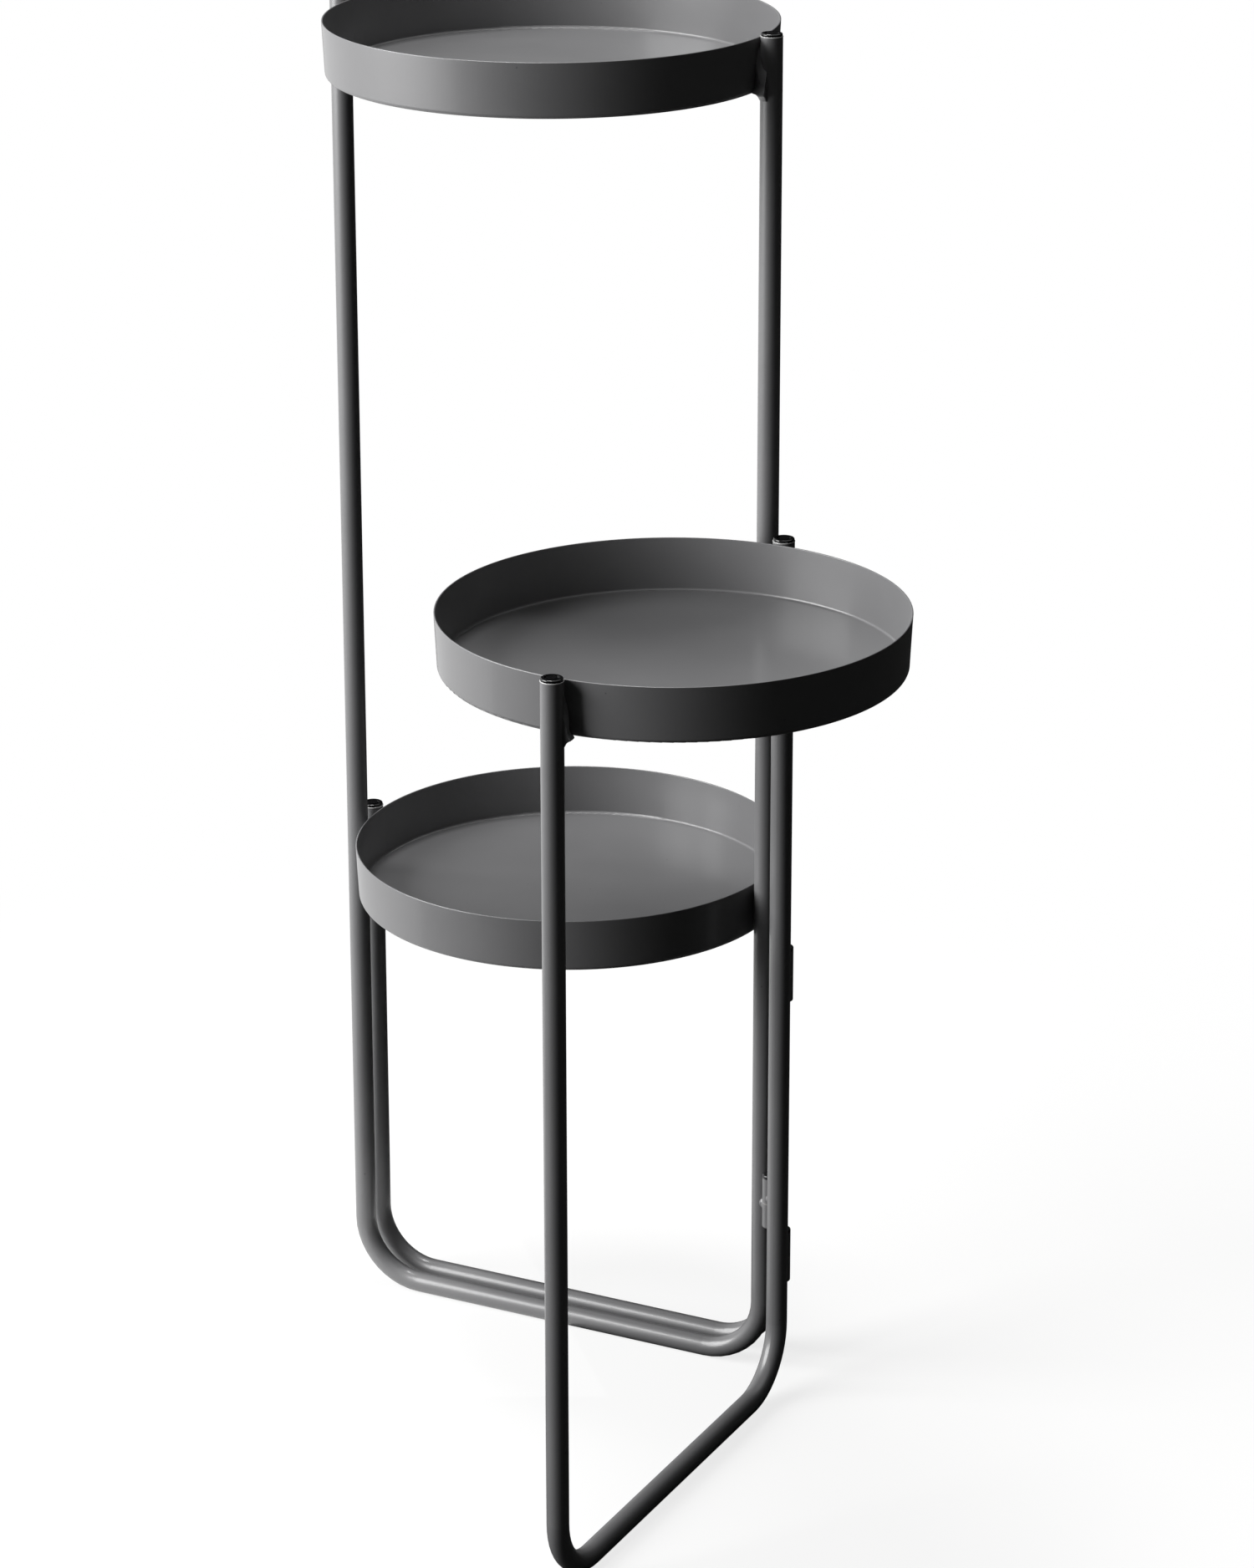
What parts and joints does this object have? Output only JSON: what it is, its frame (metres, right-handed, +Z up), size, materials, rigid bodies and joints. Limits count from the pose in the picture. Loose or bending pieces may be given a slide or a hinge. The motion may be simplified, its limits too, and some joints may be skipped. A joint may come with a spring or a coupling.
{
  "type": "tiered plant stand",
  "caption": "Folding plant stand of bent tube frames, each carrying a round tray at its own height, hinged together at one side.",
  "frame": {"origin": "centre of the stand's outer box, on the floor, with the middle frame swung out", "axes": "+Z up; +X along the tall frame from its outer leg to its hinge-side leg; +Y to the low frame's side"},
  "size_m": [0.5375, 0.5688, 1.0422],
  "materials": {
    "grey_powder_coat": "dark grey satin powder coat on steel",
    "black_plug": "moulded glossy black plastic",
    "hinge_washer": "moulded pale nylon",
    "hinge_pin": "black coated steel pin"
  },
  "bodies": {
    "tall_frame": {"tall_frame_tube": "grey_powder_coat", "top_tray": "grey_powder_coat", "top_tray_hinge_side_weld": "grey_powder_coat", "top_tray_outer_weld": "grey_powder_coat", "tall_hinge_side_plug": "black_plug", "tall_outer_plug": "black_plug", "middle_upper_hinge_fixed_knuckle": "grey_powder_coat", "middle_upper_hinge_fixed_arm": "grey_powder_coat", "middle_upper_hinge_washer": "hinge_washer", "middle_upper_hinge_pin": "hinge_pin", "middle_lower_hinge_fixed_knuckle": "grey_powder_coat", "middle_lower_hinge_fixed_arm": "grey_powder_coat", "middle_lower_hinge_washer": "hinge_washer", "middle_lower_hinge_pin": "hinge_pin", "low_upper_hinge_fixed_knuckle": "grey_powder_coat", "low_upper_hinge_fixed_arm": "grey_powder_coat", "low_upper_hinge_washer": "hinge_washer", "low_upper_hinge_pin": "hinge_pin", "low_lower_hinge_fixed_knuckle": "grey_powder_coat", "low_lower_hinge_fixed_arm": "grey_powder_coat", "low_lower_hinge_washer": "hinge_washer", "low_lower_hinge_pin": "hinge_pin"},
    "middle_frame": {"middle_frame_tube": "grey_powder_coat", "middle_tray": "grey_powder_coat", "middle_tray_hinge_side_weld": "grey_powder_coat", "middle_tray_outer_weld": "grey_powder_coat", "middle_hinge_side_plug": "black_plug", "middle_outer_plug": "black_plug", "middle_upper_hinge_swinging_knuckle": "grey_powder_coat", "middle_upper_hinge_swinging_arm": "grey_powder_coat", "middle_lower_hinge_swinging_knuckle": "grey_powder_coat", "middle_lower_hinge_swinging_arm": "grey_powder_coat"},
    "low_frame": {"low_frame_tube": "grey_powder_coat", "bottom_tray": "grey_powder_coat", "bottom_tray_hinge_side_weld": "grey_powder_coat", "bottom_tray_outer_weld": "grey_powder_coat", "low_hinge_side_plug": "black_plug", "low_outer_plug": "black_plug", "low_upper_hinge_swinging_knuckle": "grey_powder_coat", "low_upper_hinge_swinging_arm": "grey_powder_coat", "low_lower_hinge_swinging_knuckle": "grey_powder_coat", "low_lower_hinge_swinging_arm": "grey_powder_coat"}
  },
  "joints": [
    {"name": "middle_frame_swing", "type": "hinge", "parent": "tall_frame", "child": "middle_frame", "pos_m": [0.09801, 0.08263, 0.339], "axis": [0, 0, 1], "range_deg": [-88, 52]},
    {"name": "low_frame_swing", "type": "hinge", "parent": "tall_frame", "child": "low_frame", "pos_m": [0.09801, 0.10713, 0.199], "axis": [0, 0, -1], "range_deg": [0, 140]}
  ]
}
